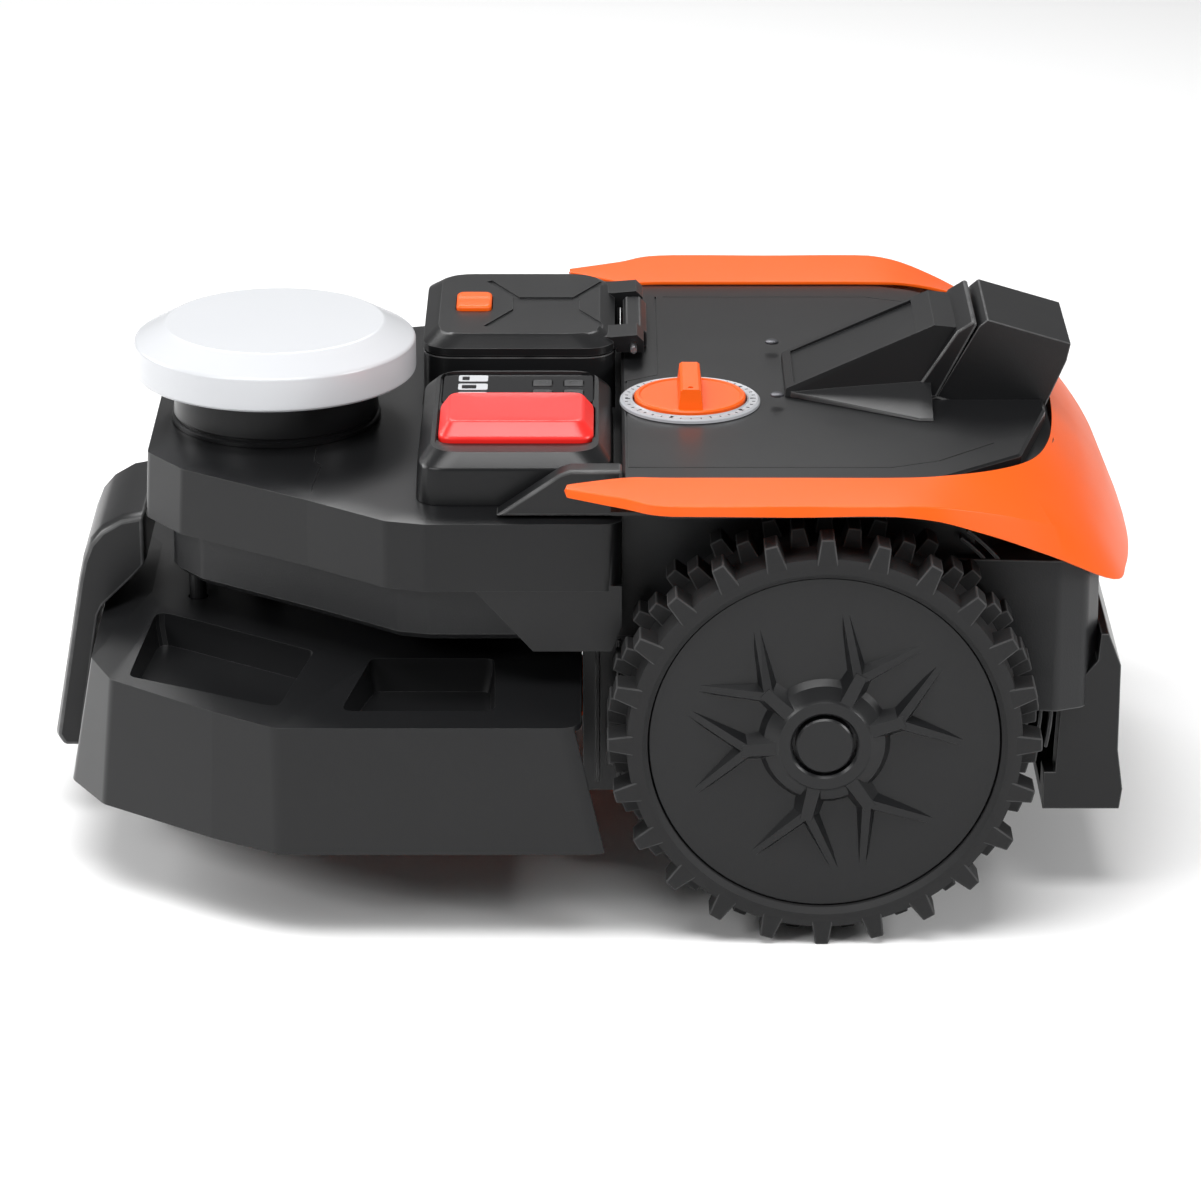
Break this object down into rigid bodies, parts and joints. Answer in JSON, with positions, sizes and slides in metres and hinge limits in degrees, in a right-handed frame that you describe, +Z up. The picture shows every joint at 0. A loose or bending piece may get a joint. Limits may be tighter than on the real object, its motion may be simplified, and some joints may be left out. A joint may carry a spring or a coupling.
{
  "type": "robotic lawn mower",
  "caption": "Compact robotic lawn mower with lugged drive wheels, blade deck under a skirt, camera pod, antenna dome, stop button, cutting-height dial and battery lid.",
  "frame": {"origin": "on the ground below the centre of the overall box", "axes": "+X forward to the camera and hood end, +Y to the mower's left, +Z up"},
  "size_m": [0.629, 0.474, 0.3045],
  "materials": {
    "shell": "satin black moulded plastic",
    "key_grey": "matte",
    "orange": "satin orange plastic",
    "white": "gloss",
    "red": "satin",
    "rubber": "matte",
    "steel": "brushed",
    "dial_silver": "satin",
    "glass_black": "gloss black window",
    "board": "matte"
  },
  "bodies": {
    "base": {"chassis": "shell", "rear_cover": "shell", "front_cover": "shell", "ramp_right": "shell", "ramp_left": "shell", "front_guard": "shell", "tail_guard": "shell", "deck_skirt": "shell", "antenna_neck": "shell", "control_box": "shell", "battery_box": "shell", "battery_pack": "shell", "hinge_block": "shell", "camera_pod": "shell", "camera_head": "shell", "orange_trim": "orange", "antenna_dome": "white", "drive_motor_right": "steel", "drive_motor_left": "steel", "lift_screw": "steel", "lid_hinge_pin": "steel", "rain_contact_right": "steel", "rain_contact_left": "steel", "dial_ring": "dial_silver", "display_window": "glass_black", "camera_window": "glass_black", "main_board": "board"},
    "wheel_right": {"tyre_right": "rubber", "wheel_disc_right": "shell", "hub_cap_right": "shell", "axle_right": "steel"},
    "wheel_left": {"tyre_left": "rubber", "wheel_disc_left": "shell", "hub_cap_left": "shell", "axle_left": "steel"},
    "caster_right": {"caster_fork_right": "shell", "caster_pin_right": "steel"},
    "caster_left": {"caster_fork_left": "shell", "caster_pin_left": "steel"},
    "caster_roller_right": {"caster_wheel_right": "rubber"},
    "caster_roller_left": {"caster_wheel_left": "rubber"},
    "cutting_unit": {"cutting_motor": "shell", "lift_carriage": "shell"},
    "disc": {"disc_hub": "steel", "cutting_disc": "orange", "skid_plate": "shell", "blade_screw_1": "steel", "blade_screw_2": "steel", "blade_screw_3": "steel"},
    "blade_a": {"blade_1": "steel"},
    "blade_b": {"blade_2": "steel"},
    "blade_c": {"blade_3": "steel"},
    "dial": {"dial_knob": "orange"},
    "stop": {"stop_button": "red"},
    "lid": {"battery_lid": "shell"},
    "latch": {"latch_button": "orange"},
    "power_key": {"key_1": "key_grey"},
    "home_key": {"key_2": "key_grey"},
    "start_key": {"key_3": "key_grey"},
    "ok_key": {"key_4": "key_grey"}
  },
  "joints": [
    {"name": "wheel_right_spin", "type": "hinge", "parent": "base", "child": "wheel_right", "pos_m": [0.13, -0.204, 0.12], "axis": [0, 1, 0], "continuous": true},
    {"name": "caster_right_swivel", "type": "hinge", "parent": "base", "child": "caster_right", "pos_m": [-0.228, -0.048, 0.138], "axis": [0, 0, 1], "continuous": true},
    {"name": "caster_right_roll", "type": "hinge", "parent": "caster_right", "child": "caster_roller_right", "pos_m": [-0.243, -0.048, 0.03], "axis": [0, 1, 0], "continuous": true},
    {"name": "wheel_left_spin", "type": "hinge", "parent": "base", "child": "wheel_left", "pos_m": [0.13, 0.204, 0.12], "axis": [0, 1, 0], "continuous": true},
    {"name": "caster_left_swivel", "type": "hinge", "parent": "base", "child": "caster_left", "pos_m": [-0.228, 0.048, 0.138], "axis": [0, 0, 1], "continuous": true},
    {"name": "caster_left_roll", "type": "hinge", "parent": "caster_left", "child": "caster_roller_left", "pos_m": [-0.243, 0.048, 0.03], "axis": [0, 1, 0], "continuous": true},
    {"name": "cutting_lift", "type": "slide", "parent": "base", "child": "cutting_unit", "axis": [0, 0, 1], "range_m": [0, 0.03]},
    {"name": "disc_spin", "type": "hinge", "parent": "cutting_unit", "child": "disc", "pos_m": [-0.075, 0, 0.065], "axis": [0, 0, 1], "continuous": true},
    {"name": "blade_a_pivot", "type": "hinge", "parent": "disc", "child": "blade_a", "pos_m": [-0.001, 0, 0.062], "axis": [0, 0, 1], "continuous": true},
    {"name": "blade_b_pivot", "type": "hinge", "parent": "disc", "child": "blade_b", "pos_m": [-0.112, 0.06409, 0.062], "axis": [0, 0, 1], "continuous": true},
    {"name": "blade_c_pivot", "type": "hinge", "parent": "disc", "child": "blade_c", "pos_m": [-0.112, -0.06409, 0.062], "axis": [0, 0, 1], "continuous": true},
    {"name": "dial_turn", "type": "hinge", "parent": "base", "child": "dial", "pos_m": [0.058, -0.045, 0.256], "axis": [0, 0, 1], "range_deg": [0, 300]},
    {"name": "stop_press", "type": "slide", "parent": "base", "child": "stop", "axis": [0, 0, -1], "range_m": [0, 0.004], "stiffness_N_per_m": 600, "springref_m": -0.004},
    {"name": "lid_open", "type": "hinge", "parent": "base", "child": "lid", "pos_m": [0.026, 0.089, 0.265], "axis": [0, 1, 0], "range_deg": [0, 100]},
    {"name": "latch_press", "type": "slide", "parent": "lid", "child": "latch", "axis": [0, 0, -1], "range_m": [0, 0.002], "stiffness_N_per_m": 300, "springref_m": -0.002},
    {"name": "power_key_press", "type": "slide", "parent": "base", "child": "power_key", "axis": [0, 0, -1], "range_m": [0, 0.0005], "stiffness_N_per_m": 300, "springref_m": -0.001},
    {"name": "home_key_press", "type": "slide", "parent": "base", "child": "home_key", "axis": [0, 0, -1], "range_m": [0, 0.0005], "stiffness_N_per_m": 300, "springref_m": -0.001},
    {"name": "start_key_press", "type": "slide", "parent": "base", "child": "start_key", "axis": [0, 0, -1], "range_m": [0, 0.0005], "stiffness_N_per_m": 300, "springref_m": -0.001},
    {"name": "ok_key_press", "type": "slide", "parent": "base", "child": "ok_key", "axis": [0, 0, -1], "range_m": [0, 0.0005], "stiffness_N_per_m": 300, "springref_m": -0.001}
  ],
  "couplings": [
    {"joint": "dial_turn", "follows": "cutting_lift", "rad_per_m": 174.5}
  ]
}
